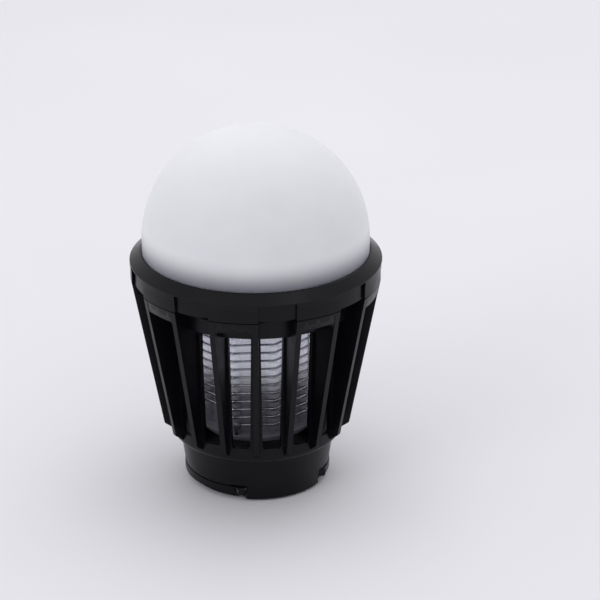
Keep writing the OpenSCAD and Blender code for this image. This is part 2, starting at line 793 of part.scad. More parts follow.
// A wire wound on the former: straight from rib to rib, and round each of them
module winding(offset) {
    sides = 8;
    rings = bends * rib_count * wire_turns;
    pts = [
        for (k = [0 : rings], j = [0 : sides - 1])
            let (
                c = wire_point(k, offset),
                out = atan2(c[0], -c[1]),
                b = j * 360 / sides
            ) [c[0] + wire_r * cos(b) * sin(out), c[1] - wire_r * cos(b) * cos(out), c[2] + wire_r * sin(b)]
    ];
    skin = [
        for (i = [0 : rings - 1], j = [0 : sides - 1])
            let (k = (j + 1) % sides, p = i * sides, q = p + sides) [p + j, q + j, q + k, p + k]
    ];
    start = [[for (j = [0 : sides - 1]) j]];
    end = [[for (j = [sides - 1 : -1 : 0]) rings * sides + j]];
    polyhedron(points = pts, faces = concat(skin, start, end));
}

module grid_wire_a() {
    color(steel) winding(0);
}

module grid_wire_b() {
    color(steel) winding(wire_pitch / 2);
}

module grid_foot() {
    color("#202026") difference() {
        translate([0, 0, grid_foot_z - disc_t]) cylinder(r1 = disc_r - 1.2, r2 = disc_r, h = disc_t);
        translate([0, 0, grid_foot_z - disc_t - eps]) cylinder(r = 1.5, h = disc_t + 1, $fn = 32);
    }
}

module grid_foot_screw() {
    color(steel) translate([0, 0, grid_foot_z - disc_t]) screw_up(disc_t + web_t, 1.5);
}

// Solder lug that stands on the foot, where a wire's end is fastened
module grid_terminal() {
    eye_r = 1.6;
    tail_w = 1.1;
    color(steel) at_az(lug_plate_az) outward(lug_plate_r, lug_plate_t) difference() {
        union() {
            translate([0, lug_eye_z]) circle(r = eye_r, $fn = 40);
            translate([-tail_w / 2, grid_foot_z]) square([tail_w, lug_eye_z - grid_foot_z]);
        }
        translate([0, lug_eye_z]) circle(r = eye_r / 2, $fn = 32);
    }
}

foot_pad();
base_cup();
insect_tray();
hanging_loop();
loop_pins();
spigot_seal();
cage_spigot();
cage_shoulder();
cage_fins();
cage_arches();
cage_collar();
head_housing();
head_floor();
floor_screws();
bezel_ring();
shade_dome();
lamp_board();
lamp_chips();
lamp_board_screws();
lamp_reflector();
battery_pack();
battery_cradle();
battery_leads();
control_board();
step_up_transformer();
storage_capacitor();
push_switch();
charging_socket();
power_button();
charging_port_cover();
grid_top_disc();
uv_board();
uv_chips();
grid_former();
grid_wire_a();
grid_wire_b();
grid_foot();
grid_foot_screw();
grid_terminal();
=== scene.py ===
"""Looks for a rechargeable camping bug zapper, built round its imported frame.

The frame says where everything is: a node's box places each piece. Sizes held here are those of
the mouldings themselves, in millimetres. Azimuth 0 is the front (-Y) and grows towards +X.
"""

import json
import logging
import math
from collections.abc import Callable, Sequence
from dataclasses import dataclass, field
from enum import Enum
from typing import Any

import bmesh
import bpy
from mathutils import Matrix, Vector

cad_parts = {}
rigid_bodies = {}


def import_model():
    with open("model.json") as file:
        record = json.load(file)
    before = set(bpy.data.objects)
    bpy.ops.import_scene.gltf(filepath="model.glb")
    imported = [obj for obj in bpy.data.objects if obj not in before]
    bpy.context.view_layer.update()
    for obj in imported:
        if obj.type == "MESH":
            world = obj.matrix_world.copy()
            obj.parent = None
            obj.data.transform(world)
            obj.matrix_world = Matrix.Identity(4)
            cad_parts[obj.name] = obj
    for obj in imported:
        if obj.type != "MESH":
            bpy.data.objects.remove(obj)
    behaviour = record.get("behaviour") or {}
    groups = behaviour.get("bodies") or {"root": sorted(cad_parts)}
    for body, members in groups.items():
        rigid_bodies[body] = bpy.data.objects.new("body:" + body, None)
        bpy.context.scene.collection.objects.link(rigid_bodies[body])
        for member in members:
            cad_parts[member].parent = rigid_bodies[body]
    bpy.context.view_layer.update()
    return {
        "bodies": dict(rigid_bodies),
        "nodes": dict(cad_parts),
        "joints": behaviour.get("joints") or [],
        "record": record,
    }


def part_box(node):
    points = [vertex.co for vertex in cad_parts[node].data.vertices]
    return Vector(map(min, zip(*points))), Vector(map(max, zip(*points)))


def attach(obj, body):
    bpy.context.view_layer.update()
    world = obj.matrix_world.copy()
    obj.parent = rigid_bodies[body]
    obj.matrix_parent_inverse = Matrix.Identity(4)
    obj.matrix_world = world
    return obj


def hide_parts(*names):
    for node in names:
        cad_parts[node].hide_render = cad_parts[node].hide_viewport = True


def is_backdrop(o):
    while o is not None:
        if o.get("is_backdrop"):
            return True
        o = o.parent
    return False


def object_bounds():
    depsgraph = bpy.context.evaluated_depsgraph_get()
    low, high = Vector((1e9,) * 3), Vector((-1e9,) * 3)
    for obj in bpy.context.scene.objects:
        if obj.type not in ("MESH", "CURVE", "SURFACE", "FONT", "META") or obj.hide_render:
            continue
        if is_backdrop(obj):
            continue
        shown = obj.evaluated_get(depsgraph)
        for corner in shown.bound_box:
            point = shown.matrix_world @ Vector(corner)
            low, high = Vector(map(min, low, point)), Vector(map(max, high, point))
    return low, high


LOG = logging.getLogger("bug_zapper")
MM = 0.001
WELD = 2e-6  # vertices closer than this, in metres, are one vertex
FLAT_DEG = 1.0  # faces that meet at less than this are one flat face
SHARP_DEG = 34.0  # edges that turn by more than this get a rounded corner
CREASE_DEG = 55.0  # edges that turn by more than this are shaded as creases
TURNED = 0.1  # sine of the angle off its radius, below which a face is part of a turned wall
LEVEL = 0.999  # a face whose normal rises or falls by more than this is level
MIDDLE = (0.32, 0.68)  # where most of a noise pattern's values lie
NOISE_ROUGHNESS = 0.55  # how strong the finer layers of a noise pattern are

Colour = tuple[float, float, float, float]
Test = Callable[[Vector], bool]


# --- small tools ---


def linear(hex_colour: str) -> Colour:
    """Turns an sRGB hex colour into the linear one that a shader takes.

    Args:
        hex_colour: Such as "#1d1c22".

    Returns:
        Red, green, blue and an alpha of 1.
    """

    def channel(value: float) -> float:
        """One channel, 0 to 1, from sRGB to linear."""
        return value / 12.92 if value <= 0.04045 else ((value + 0.055) / 1.055) ** 2.4

    red, green, blue = (channel(int(hex_colour[i : i + 2], 16) / 255) for i in (1, 3, 5))
    return red, green, blue, 1.0


def per_mm(size: float) -> float:
    """The scale at which a pattern on object coordinates has features of a size in mm."""
    return 1.0 / (size * MM)


def add_node(
    tree: bpy.types.NodeTree,
    kind: str,
    sockets: dict[str | int, Any] | None = None,
    **settings: Any,
) -> bpy.types.Node:
    """Adds a node with its settings, and fills or links its inputs.

    Args:
        tree: The tree that the node goes in.
        kind: The node's type, such as "ShaderNodeTexNoise".
        sockets: Input name or number to a value, or to the output socket that feeds it.
        **settings: The node's own properties.

    Returns:
        The new node.
    """
    node = tree.nodes.new(kind)
    for name, value in settings.items():
        setattr(node, name, value)
    for name, value in (sockets or {}).items():
        if isinstance(value, bpy.types.NodeSocket):
            tree.links.new(value, node.inputs[name])
        else:
            node.inputs[name].default_value = value
    return node


def direction(azimuth: float) -> Vector:
    """The level unit vector out from the axis at an azimuth in degrees."""
    a = math.radians(azimuth)
    return Vector((math.sin(a), -math.cos(a), 0.0))


class Outline:
    """Half an outline of radius and height, in mm, that is spun into a round piece."""

    def __init__(self, radius: float, height: float) -> None:
        """Starts the outline at one point."""
        self.bm = bmesh.new()
        self.end = self._point(radius, height)

    def _point(self, radius: float, height: float) -> bmesh.types.BMVert:
        """Adds one point of the outline."""
        return self.bm.verts.new((radius * MM, 0.0, height * MM))

    def line(self, *points: tuple[float, float]) -> "Outline":
        """Carries on in straight lines.

        Args:
            *points: Radius and height in mm of each next point.

        Returns:
            This outline.
        """
        for radius, height in points:
            vert = self._point(radius, height)
            self.bm.edges.new((self.end, vert))
            self.end = vert
        return self

    def arc(self, radius: float, height: float, degrees: float, steps: int) -> "Outline":
        """Carries on round a centre.

        Args:
            radius: The centre's radius in mm.
            height: The centre's height in mm.
            degrees: How far; above 0 it turns from +Z towards the outside.
            steps: Straight pieces along the arc.

        Returns:
            This outline.
        """
        made = bmesh.ops.spin(
            self.bm,
            geom=[self.end],
            cent=(radius * MM, 0.0, height * MM),
            axis=(0.0, 1.0, 0.0),
            angle=math.radians(degrees),
            steps=steps,
        )
        self.end = next(v for v in made["geom_last"] if isinstance(v, bmesh.types.BMVert))
        return self

    def turned(self, steps: int) -> bmesh.types.BMesh:
        """Spins the outline, which starts and ends on the axis, round it.

        Args:
            steps: Faces round the whole turn.

        Returns:
            A closed mesh with its faces outwards.
        """
        bmesh.ops.spin(
            self.bm,
            geom=[*self.bm.verts, *self.bm.edges],
            cent=(0.0, 0.0, 0.0),
            axis=(0.0, 0.0, 1.0),
            angle=math.tau,
            steps=steps,
            use_merge=True,
        )
        bmesh.ops.remove_doubles(self.bm, verts=self.bm.verts, dist=WELD / 2)
        bmesh.ops.recalc_face_normals(self.bm, faces=self.bm.faces)
        return self.bm


# --- finishes ---


class Finish:
    """A material under construction: its tree, its object coordinates and its main shader."""

    name = "finish"

    def __init__(self) -> None:
        """Starts the material and lets the subclass fill it."""
        self.material = bpy.data.materials.new(self.name)
        self.material.use_nodes = True
        self.tree = self.material.node_tree
        self.tree.nodes.clear()
        self.coords = add_node(self.tree, "ShaderNodeTexCoord").outputs["Object"]
        self.shader = add_node(self.tree, "ShaderNodeBsdfPrincipled")
        self.output = add_node(
            self.tree, "ShaderNodeOutputMaterial", {"Surface": self.shader.outputs[0]}
        )
        self.fill()

    def fill(self) -> None:
        """Sets the shader up; each finish has its own."""
        raise NotImplementedError

    def constants(self, **values: Any) -> None:
        """Sets constant values on the shader's own sockets; _ stands for a space."""
        for name, value in values.items():
            self.shader.inputs[name.replace("_", " ")].default_value = value

    def feed(self, socket: str, source: bpy.types.NodeSocket) -> None:
        """Links a pattern to one of the shader's sockets."""
        self.tree.links.new(source, self.shader.inputs[socket])

    def noise(
        self,
        size: float,
        detail: float = 3.0,
        stretch: tuple[float, float, float] | None = None,
    ) -> bpy.types.NodeSocket:
        """A cloudy pattern with features of a size in mm.

        Args:
            size: The features' size in mm.
            detail: How many finer layers it has.
            stretch: Scale along each axis before the pattern, or None.

        Returns:
            The socket that gives 0 to 1.
        """
        vector = self.coords
        if stretch:
            vector = add_node(
                self.tree, "ShaderNodeMapping", {"Vector": vector, "Scale": stretch}
            ).outputs[0]
        return add_node(
            self.tree,
            "ShaderNodeTexNoise",
            {
                "Vector": vector,
                "Scale": per_mm(size),
                "Detail": detail,
                "Roughness": NOISE_ROUGHNESS,
            },
        ).outputs[0]

    def spread(
        self, source: bpy.types.NodeSocket, low: float, high: float
    ) -> bpy.types.NodeSocket:
        """Stretches a pattern's middle range.

        Args:
            source: The pattern.
            low: What the range starts at.
            high: What the range ends at.

        Returns:
            The socket that gives low to high.
        """
        return add_node(
            self.tree,
            "ShaderNodeMapRange",
            {0: source, 1: MIDDLE[0], 2: MIDDLE[1], 3: low, 4: high},
        ).outputs[0]

    def rise(self, low: float, high: float) -> bpy.types.NodeSocket:
        """Goes softly from 0 at one height to 1 at another.

        Args:
            low: The height in mm of 0.
            high: The height in mm of 1.

        Returns:
            The socket that gives 0 to 1.
        """
        height = add_node(self.tree, "ShaderNodeSeparateXYZ", {0: self.coords}).outputs["Z"]
        return add_node(
            self.tree,
            "ShaderNodeMapRange",
            {0: height, 1: low * MM, 2: high * MM},
            interpolation_type="SMOOTHSTEP",
        ).outputs[0]

    def blend(
        self, factor: bpy.types.NodeSocket | float, first: Any, second: Any
    ) -> bpy.types.NodeSocket:
        """Mixes two colours.

        Args:
            factor: 0 for the first colour, 1 for the second.
            first: A hex value or a socket.
            second: A hex value or a socket.

        Returns:
            The socket that gives the mixed colour.
        """
        ends = [linear(c) if isinstance(c, str) else c for c in (first, second)]
        return add_node(
            self.tree,
            "ShaderNodeMix",
            {0: factor, 6: ends[0], 7: ends[1]},
            data_type="RGBA",
        ).outputs[2]

    def bump(self, height: bpy.types.NodeSocket, depth: float, strength: float = 1.0) -> None:
        """Raises the surface by a pattern; later calls add to earlier ones.

        Args:
            height: The pattern.
            depth: How far 1 stands above 0, in mm.
            strength: Share of the effect, 0 to 1.
        """
        normal = self.shader.inputs["Normal"]
        sockets: dict[str | int, Any] = {
            "Height": height,
            "Distance": depth * MM,
            "Strength": strength,
        }
        if normal.is_linked:
            sockets["Normal"] = normal.links[0].from_socket
        self.feed("Normal", add_node(self.tree, "ShaderNodeBump", sockets).outputs[0])


class MouldedAbs(Finish):
    """Black ABS, injection moulded in a spark-eroded tool: a fine even grain with a satin gloss.

    The grain of the real one is about 0.05 mm; it is drawn at 0.35 mm so that it still shows.
    """

    name = "abs_black_spark_eroded"
    dark, pale = "#06050a", "#0a090f"
    rough = (0.28, 0.38)
    grain, grain_depth = 0.35, 0.010
    gleam = 0.16

    def fill(self) -> None:
        """Grain, slow flow marks in the colour, and handled patches in the gloss."""
        self.constants(IOR=1.53, Specular_IOR_Level=self.gleam)
        flow = self.noise(16.0, 2.0, (1.0, 1.0, 0.45))
        self.feed("Base Color", self.blend(self.spread(flow, 0.0, 1.0), self.dark, self.pale))
        patches = self.spread(self.noise(7.0, 4.0), *self.rough)
        self.feed("Roughness", patches)
        self.bump(self.noise(self.grain, 2.0), self.grain_depth)


class PolishedAbs(MouldedAbs):
    """The same black ABS from a tool drawn smooth: the bezel, with a softer, wetter shine."""

    name = "abs_black_tool_polished"
    dark, pale = "#08070b", "#0c0b10"
    rough = (0.22, 0.30)
    gleam = 0.17
    grain, grain_depth = 0.6, 0.006


class InnerAbs(MouldedAbs):
    """Black ABS with no grain, where nobody looks: plain machined-tool finish."""

    name = "abs_black_plain"
    dark, pale = "#0f0f12", "#151518"
    rough = (0.42, 0.55)
    grain, grain_depth = 1.2, 0.008


class SmokyAbs(MouldedAbs):
    """Dark grey ABS of the grid's foot, with a plain satin skin."""

    name = "abs_smoky_grey"
    dark, pale = "#74747e", "#84848e"
    rough = (0.38, 0.5)
    grain, grain_depth = 1.2, 0.008


class ButtonAbs(MouldedAbs):
    """Dark grey ABS of the power button, rubbed a little glossier by thumbs."""

    name = "abs_dark_grey_button"
    dark, pale = "#2a2a30", "#34343b"
    rough = (0.30, 0.42)


class MilkySilicone(Finish):
    """Compression-moulded silicone rubber, milky white: light soaks in and the skin stays matt."""

    name = "silicone_milky_white"
    # heights in mm from the rim's full painted shade up to where that shade has faded out
    rim_height, free_height = 87.5, 99.5

    def fill(self) -> None:
        """Light spreads about 5 mm inside; low down, at the clamped rim, painted shade makes it
        darker.
        """
        self.constants(
            IOR=1.41,
            Subsurface_Weight=1.0,
            Subsurface_Radius=(1.0, 0.92, 0.86),
            Subsurface_Scale=0.005,
            Sheen_Weight=0.08,
            Sheen_Roughness=0.6,
        )
        cloud = self.spread(self.noise(22.0, 2.0), 0.0, 1.0)
        # painted shade: 0 at the clamped rim, where the colour is darkest, rising to 1 higher up
        free = self.rise(self.rim_height, self.free_height)
        milky = self.blend(cloud, "#ecedee", "#f1f2f3")
        self.feed("Base Color", self.blend(free, "#74757f", milky))
        self.feed("Roughness", self.spread(self.noise(5.0, 3.0), 0.52, 0.62))
        self.bump(self.noise(0.5, 2.0), 0.006)


class SoftRubber(Finish):
    """Black nitrile rubber, moulded matt: foot pad, seal and port cover."""

    name = "rubber_nitrile_black"

    def fill(self) -> None:
        """A chalky bloom over a pebbled matt skin."""
        self.constants(IOR=1.52)
        bloom = self.spread(self.noise(4.0, 4.0), 0.0, 1.0)
        self.feed("Base Color", self.blend(bloom, "#1b1b1e", "#29292d"))
        self.feed("Roughness", self.spread(self.noise(1.5, 3.0), 0.72, 0.86))
        self.bump(self.noise(0.7, 2.0), 0.02)


class DrawnSteel(Finish):
    """Drawn stainless wire, a little dulled: a soft shine with fine die lines."""

    name = "stainless_steel_drawn"

    def fill(self) -> None:
        """Die lines in the gloss and slight tarnish."""
        self.constants(Metallic=1.0)
        tarnish = self.spread(self.noise(2.5, 3.0), 0.0, 1.0)
        self.feed("Base Color", self.blend(tarnish, "#8f9198", "#a9abb1"))
        lines = self.noise(0.3, 2.0, (0.2, 0.2, 4.0))
        self.feed("Roughness", self.spread(lines, 0.20, 0.32))
        self.bump(lines, 0.006)


class PlatedSteel(Finish):
    """Bright zinc-plated steel of the screws and pins: bluish, softly blurred."""

    name = "steel_zinc_plated"

    def fill(self) -> None:
        """Cloudy plating with fine pits."""
        self.constants(Metallic=1.0)
        cloud = self.spread(self.noise(1.2, 4.0), 0.0, 1.0)
        self.feed("Base Color", self.blend(cloud, "#b4b9c0", "#cfd2d6"))
        self.feed("Roughness", self.spread(self.noise(0.6, 3.0), 0.24, 0.42))
        self.bump(self.noise(0.25, 2.0), 0.006)


class FrostedPolycarbonate(Finish):
    """Milky polycarbonate moulded in a blasted tool, with painted shade that turns it dark grey
    towards its foot and a painted glow, stronger higher up.
    """

    name = "polycarbonate_frosted"
    # heights in mm below which the colour is painted shade and above which it is its own milky
    # colour
    smoky_height, milky_height = 36.5, 51.0

    def fill(self) -> None:
        """Partly clear; a weak painted glow, stronger above, stands in for the light that it
        scatters, and painted shade darkens its colour low down.
        """
        # Emission_Strength sets the strength of the painted glow
        self.constants(IOR=1.58, Transmission_Weight=0.25, Emission_Strength=0.3)
        cloud = self.spread(self.noise(6.0, 3.0), 0.0, 1.0)
        lit = self.rise(self.smoky_height, self.milky_height)
        milky = self.blend(cloud, "#e2e3ea", "#f2f3f8")
        # painted shade: dark grey at the foot, turning into the milky colour higher up
        self.feed("Base Color", self.blend(lit, "#5e5e66", milky))
        # painted light: a glow, dim at the foot and brighter higher up, though the former is no
        # lamp
        self.feed("Emission Color", self.blend(lit, "#303036", "#a0a0aa"))
        self.feed("Roughness", self.spread(self.noise(3.0, 3.0), 0.34, 0.46))
        self.bump(self.noise(0.4, 2.0), 0.01)


@dataclass(frozen=True)
class BoardLook:
    """Colours of a circuit board's solder mask and of the copper under it."""

    name: str
    mask: str
    copper: str


class SolderMask(Finish):
    """Epoxy solder mask over copper tracks on a glass-fibre or aluminium board."""

    look = BoardLook("solder_mask_green", "#15502f", "#2c7a48")

    def __init__(self) -> None:
        """Names the material after its look."""
        self.name = self.look.name
        super().__init__()

    def fill(self) -> None:
        """Tracks about 0.5 mm wide, 3 mm by 1.5 mm apart, show through a glossy coat."""
        self.constants(IOR=1.55, Coat_Weight=0.4, Coat_Roughness=0.15)
        brick = add_node(
            self.tree,
            "ShaderNodeTexBrick",
            {
                "Vector": self.coords,
                "Color1": linear(self.look.mask),
                "Color2": linear(self.look.mask),
                "Mortar": linear(self.look.copper),
                "Scale": per_mm(6.0),
                "Mortar Size": 0.04,
                "Mortar Smooth": 0.1,
            },
        )
        self.feed("Base Color", brick.outputs["Color"])
        self.feed("Roughness", self.spread(self.noise(2.0, 3.0), 0.28, 0.4))
        self.bump(brick.outputs["Fac"], 0.03, 0.6)


class WhiteSolderMask(SolderMask):
    """White solder mask on an aluminium lamp board, which throws the light back up."""

    look = BoardLook("solder_mask_white", "#e2e2dd", "#d2d2cc")


class PlainFinish(Finish):
    """A moulded or coated finish in one hue, broken up by grain and gloss."""

    dark, pale = "#808080", "#909090"
    rough = (0.4, 0.5)
    ior = 1.5
    grain, depth = 0.5, 0.01
    clouds = 3.0

    def fill(self) -> None:
        """Clouded colour, uneven gloss and a fine grain."""
        self.constants(IOR=self.ior)
        cloud = self.spread(self.noise(self.clouds, 3.0), 0.0, 1.0)
        self.feed("Base Color", self.blend(cloud, self.dark, self.pale))
        self.feed("Roughness", self.spread(self.noise(self.clouds * 0.7, 3.0), *self.rough))
        self.bump(self.noise(self.grain, 2.0), self.depth)


class WhitePolystyrene(PlainFinish):
    """Glossy white high-impact polystyrene of the reflector ring."""

    name = "polystyrene_white_gloss"
    dark, pale = "#ececea", "#f4f4f2"
    rough = (0.16, 0.24)
    ior = 1.59
    grain, depth = 1.0, 0.004


class LampPhosphor(PlainFinish):
    """Phosphor-filled silicone of white lamp chips: egg-yellow and slightly domed."""

    name = "phosphor_silicone_yellow"
    dark, pale = "#e3c45c", "#f0d87e"
    rough = (0.3, 0.4)
    ior = 1.41
    grain, depth = 0.25, 0.02


class VioletChip(PlainFinish):
    """Clear silicone over ultraviolet dies in a white case: a milky violet."""

    name = "chip_silicone_violet"
    dark, pale = "#b9aede", "#d7cff0"
    rough = (0.15, 0.25)
    ior = 1.41
    grain, depth = 0.8, 0.02


class ShrinkFilm(PlainFinish):
    """Blue PVC shrink film round the battery: glossy and pulled into small wrinkles."""

    name = "pvc_shrink_film_blue"
    dark, pale = "#1f4486", "#2c5aa6"
    rough = (0.12, 0.2)
    ior = 1.54
    grain, depth = 4.0, 0.15


class LeadInsulation(PlainFinish):
    """Red PVC insulation, extruded: soft shine."""

    name = "pvc_insulation_red"
    dark, pale = "#8f1c1c", "#a82626"
    rough = (0.3, 0.38)
    ior = 1.54
    grain, depth = 0.6, 0.01


class DippedEpoxy(PlainFinish):
    """Red-brown epoxy that a film capacitor is dipped in: glossy, with sags."""

    name = "epoxy_dipped_red_brown"
    dark, pale = "#7e2a17", "#96361e"
    rough = (0.1, 0.18)
    ior = 1.55
    grain, depth = 2.5, 0.12


class SwitchBody(PlainFinish):
    """Grey glass-filled PBT of a push switch: dull, with fibre specks."""

    name = "pbt_glass_filled_grey"
    dark, pale = "#6a6b70", "#7a7b80"
    rough = (0.5, 0.62)
    ior = 1.6
    grain, depth = 0.3, 0.02


class LacqueredCoil(Finish):
    """Lacquered copper wire wound on a ferrite core, under a coat of varnish."""

    name = "copper_wire_lacquered"

    def fill(self) -> None:
        """Turns of 0.3 mm wire, drawn about three times as coarse so that they still show."""
        self.constants(IOR=1.5, Coat_Weight=0.5, Coat_Roughness=0.12)
        turns = add_node(
            self.tree,
            "ShaderNodeTexWave",
            {"Vector": self.coords, "Scale": per_mm(0.45) / math.tau, "Distortion": 0.6},
            bands_direction="Z",
        ).outputs["Fac"]
        self.feed("Base Color", self.blend(turns, "#4a2411", "#9a5527"))
        self.feed("Roughness", self.spread(self.noise(1.0, 3.0), 0.25, 0.4))
        self.bump(turns, 0.1)


class StudioPaper(Finish):
    """Pale seamless background paper: matt, faintly mottled."""

    name = "paper_pale_seamless"

    def fill(self) -> None:
        """Very slow tone changes and a paper tooth."""
        self.constants(IOR=1.45, Specular_IOR_Level=0.25)
        mottle = self.spread(self.noise(260.0, 2.0), 0.0, 1.0)
        self.feed("Base Color", self.blend(mottle, "#e6e6e9", "#eaeaed"))
        self.feed("Roughness", self.spread(self.noise(60.0, 2.0), 0.72, 0.8))
        self.bump(self.noise(1.5, 2.0), 0.01)


# --- the workshop that every sub-assembly is built in ---


@dataclass(frozen=True)
class Part:
    """How a piece takes its place: its body, its material slot and its finish."""

    body: str
    slot: str
    finish: type[Finish]


class Workshop:
    """Holds the frame and the finishes, and puts pieces in their places."""

    def __init__(self, frame: dict[str, Any]) -> None:
        """Takes the loaded frame."""
        self.frame = frame
        self.finishes: dict[type[Finish], bpy.types.Material] = {}

    def material(self, finish: type[Finish]) -> bpy.types.Material:
        """The material of a finish, made once.

        Args:
            finish: The finish.

        Returns:
            Its material.
        """
        if finish not in self.finishes:
            self.finishes[finish] = finish().material
        return self.finishes[finish]

    def dress(self, node: str, finish: type[Finish]) -> None:
        """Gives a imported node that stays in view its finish.

        Args:
            node: The node's name.
            finish: Its finish.
        """
        for slot in self.frame["nodes"][node].material_slots:
            slot.material = self.material(finish)
        LOG.info("node %s: %s", node, finish.name)

    def place(
        self, name: str, mesh: bmesh.types.BMesh | bpy.types.Mesh, part: Part, *nodes: str
    ) -> bpy.types.Object:
        """Makes a piece of a mesh, finishes it and gives it its body.

        Args:
            name: The piece's name.
            mesh: Its mesh, in the frame's own place.
            part: Its body, slot and finish.
            *nodes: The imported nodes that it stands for.

        Returns:
            The new object.
        """
        if isinstance(mesh, bmesh.types.BMesh):
            data = bpy.data.meshes.new(name)
            mesh.to_mesh(data)
            mesh.free()
        else:
            data = mesh
        data.shade_smooth()
        data.set_sharp_from_angle(angle=math.radians(CREASE_DEG))
        data.materials.clear()
        data.materials.append(self.material(part.finish))
        piece = bpy.data.objects.new(name, data)
        bpy.context.scene.collection.objects.link(piece)
        even = piece.modifiers.new("even_normals", "WEIGHTED_NORMAL")
        even.keep_sharp = True
        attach(piece, part.body)
        if nodes:
            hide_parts(*nodes)
        LOG.info("piece %s: %d faces on %s", name, len(data.polygons), part.body)
        return piece

    def turned_skin(self, piece: bpy.types.Object) -> None:
        """Shades a round piece as if it were turned about +Z, however its faces are cut.

        Args:
            piece: A placed piece whose walls run round the lamp's axis.
        """
        piece.modifiers.clear()
        data = piece.data
        normals = [Vector(corner.vector) for corner in data.corner_normals]
        for face in data.polygons:
            flat = Vector((face.center.x, face.center.y, 0.0))
            out = flat.normalized() if flat.length > MM else Vector((1.0, 0.0, 0.0))
            across = face.normal.cross(out).z
            radial = face.normal.dot(out)
            for corner in face.loop_indices:
                spot = data.vertices[data.loops[corner].vertex_index].co
                ray = Vector((spot.x, spot.y, 0.0)).normalized()
                if abs(face.normal.z) > LEVEL:
                    normals[corner] = face.normal.copy()
                elif abs(across) < TURNED:
                    normals[corner] = (ray * radial + Vector((0, 0, face.normal.z))).normalized()
        data.normals_split_custom_set(normals)

    def welded(self, node: str) -> bmesh.types.BMesh:
        """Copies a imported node's mesh, with its loose triangles welded and flats merged.

        Args:
            node: The node's name.

        Returns:
            The copy.
        """
        bm = bmesh.new()
        bm.from_mesh(self.frame["nodes"][node].data)
        bmesh.ops.remove_doubles(bm, verts=bm.verts, dist=WELD)
        bmesh.ops.dissolve_limit(
            bm, angle_limit=math.radians(FLAT_DEG), verts=bm.verts, edges=bm.edges
        )
        return bm

    def rounded(
        self,
        name: str,
        node: str,
        part: Part,
        edge: float,
        steps: int = 2,
        keep: Test | None = None,
    ) -> bpy.types.Object:
        """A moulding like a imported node, with its sharp corners rounded.

        Args:
            name: The piece's name.
            node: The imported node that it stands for.
            part: Its body, slot and finish.
            edge: The rounds' size in mm.
            steps: Faces across a round.
            keep: Says of an edge's middle, in mm, that it stays sharp.

        Returns:
            The new object.
        """
        bm = self.welded(node)
        sharp = [
            e
            for e in bm.edges
            if len(e.link_faces) == 2
            and e.calc_face_angle(0.0) > math.radians(SHARP_DEG)
            and not (keep and keep((e.verts[0].co + e.verts[1].co) / 2 / MM))
        ]
        bmesh.ops.bevel(
            bm,
            geom=sharp,
            offset=edge * MM,
            offset_type="OFFSET",
            segments=steps,
            profile=0.5,
            affect="EDGES",
            clamp_overlap=True,
            material=-1,
        )
        return self.place(name, bm, part, node)


# --- sub-assemblies ---


@dataclass
class Base:
    """The cup that the lamp stands in, with its tray, pad and folded hanging loop."""

    cup_edge: float = 0.35
    pad_edge: float = 0.3
    tray_edge: float = 0.3
    loop_edge: float = 0.45

    def build(self, shop: Workshop) -> None:
        """Makes the mouldings of the base.

        Args:
            shop: Where they are made.
        """
        black = Part("base", "abs", MouldedAbs)
        shop.turned_skin(
            shop.rounded("base_cup_moulding", "base_cup", black, self.cup_edge, 3)
        )
        shop.rounded(
            "tray_moulding", "insect_tray", Part("base", "abs_inner", InnerAbs), self.tray_edge
        )
        shop.rounded("foot_rubber", "foot_pad", Part("base", "rubber", SoftRubber), self.pad_edge)
        shop.rounded(
            "loop_moulding", "hanging_loop", Part("loop", "abs", MouldedAbs), self.loop_edge, 3
        )
        shop.dress("loop_pins", PlatedSteel)


@dataclass
class Cage:
    """Eighteen fins between a bottom ring and a collar, tied in pairs by arches."""

    edge: float = 0.28
    ring_edge: float = 0.3
    contact: float = 0.06  # an edge nearer than this to another moulding touches it
    arch_drop: float = 4.1  # from the cage's top down to where the arches stand on the fins
    arch_foot: float = 1.85  # from the arches' lowest point to just above their fins' tops

    def build(self, shop: Workshop) -> None:
        """Makes the cage's mouldings; where two of them meet, their edges stay sharp.

        Args:
            shop: Where they are made.
        """
        black = Part("cage", "abs", MouldedAbs)
        ring_low, ring_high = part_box("cage_shoulder")
        collar_low, collar_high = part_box("cage_collar")
        arch_low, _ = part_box("cage_arches")
        top = collar_high.z / MM
        arch_z = top - self.arch_drop
        ring_z = ring_high.z / MM
        collar_z = collar_low.z / MM
        collar_r = collar_high.x / MM
        ring_r = ring_high.x / MM

        def near(a: float, b: float) -> bool:
            """Whether two measures in mm are the same within the contact."""
            return abs(a - b) < self.contact

        def fin_contact(p: Vector) -> bool:
            """Finds where a fin meets the rings or an arch.

            Args:
                p: Middle of one of the fins' edges, in mm.

            Returns:
                Whether that edge touches another moulding.
            """
            r = math.hypot(p.x, p.y)
            return (
                near(p.z, arch_z)
                or near(p.z, collar_z)
                or near(p.z, ring_z)
                or (near(r, ring_r) and p.z < ring_z + self.contact)
                or (near(r, collar_r) and p.z > collar_z - self.contact)
            )

        def arch_contact(p: Vector) -> bool:
            """Finds where an arch meets the collar or a fin.

            Args:
                p: Middle of one of the arches' edges, in mm.

            Returns:
                Whether that edge touches another moulding.
            """
            r = math.hypot(p.x, p.y)
            low = p.z < arch_low.z / MM + self.arch_foot
            return near(r, collar_r) or (low and near(p.z, arch_z))

        shop.rounded("fins_moulding", "cage_fins", black, self.edge, 2, fin_contact)
        shop.rounded("arches_moulding", "cage_arches", black, self.edge, 2, arch_contact)
        for name, node in (("bottom_ring", "cage_shoulder"), ("collar", "cage_collar")):
            shop.turned_skin(shop.rounded(name + "_moulding", node, black, self.ring_edge))
        shop.dress("spigot_seal", SoftRubber)
        shop.dress("cage_spigot", MouldedAbs)


